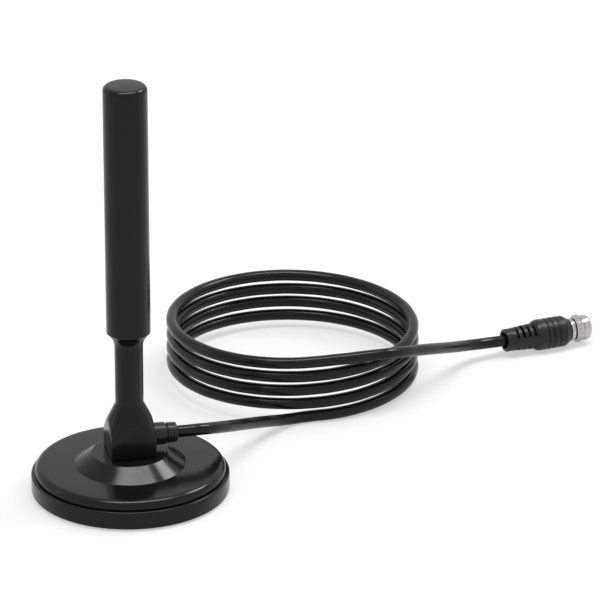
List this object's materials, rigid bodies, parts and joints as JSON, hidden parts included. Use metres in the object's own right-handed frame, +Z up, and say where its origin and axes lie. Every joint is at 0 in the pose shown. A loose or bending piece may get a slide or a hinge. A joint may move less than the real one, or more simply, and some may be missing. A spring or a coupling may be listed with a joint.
{
  "type": "indoor television aerial",
  "caption": "Round mast on a magnetic disc base with a square flared foot, a coiled coaxial cord and a hex-nut coaxial plug.",
  "frame": {"origin": "centre of the base, on the surface it stands on", "axes": "+Z up along the mast, +X the way the cord leaves the foot, +Y towards the coil side"},
  "size_m": [0.2804, 0.2041, 0.1851],
  "materials": {
    "housing": "black ABS, semi-gloss",
    "pad_rubber": "matt foam rubber",
    "ferrite": "sintered ferrite, matt",
    "steel": "zinc plated",
    "former": "natural",
    "copper": "bright copper",
    "circuit_board": "green solder mask",
    "foam": "open-cell foam",
    "nylon": "natural nylon",
    "cord": "black PVC, satin",
    "boot": "black moulded PVC, satin",
    "nickel": "nickel plated brass",
    "dielectric": "white dielectric"
  },
  "bodies": {
    "aerial": {"foot_pad": "pad_rubber", "base_skirt": "housing", "base_lid": "housing", "ring_magnet": "ferrite", "pole_plate": "steel", "lid_screw_1": "steel", "lid_screw_2": "steel", "lid_screw_3": "steel", "foot_screw": "steel", "foot_washer": "steel", "mast_foot": "housing", "mast_sleeve": "housing", "coil_former": "former", "radiator_winding": "copper", "matching_board": "circuit_board", "matching_balun": "ferrite", "top_cushion": "foam", "inner_cable": "cord", "cable_tie": "nylon", "strain_relief": "boot", "cord_lead_in": "cord", "cord_coil": "cord", "cord_lead_out": "cord", "plug_boot": "boot", "connector_body": "nickel", "nut_clip": "steel", "pin_insulator": "dielectric", "centre_pin": "copper"},
    "nut": {"coupling_nut": "nickel"}
  },
  "joints": [
    {"name": "nut_spin", "type": "hinge", "parent": "aerial", "child": "nut", "pos_m": [0.23291, 0.10778, 0.0072], "axis": [0.9869, 0.1616, 0], "continuous": true}
  ]
}
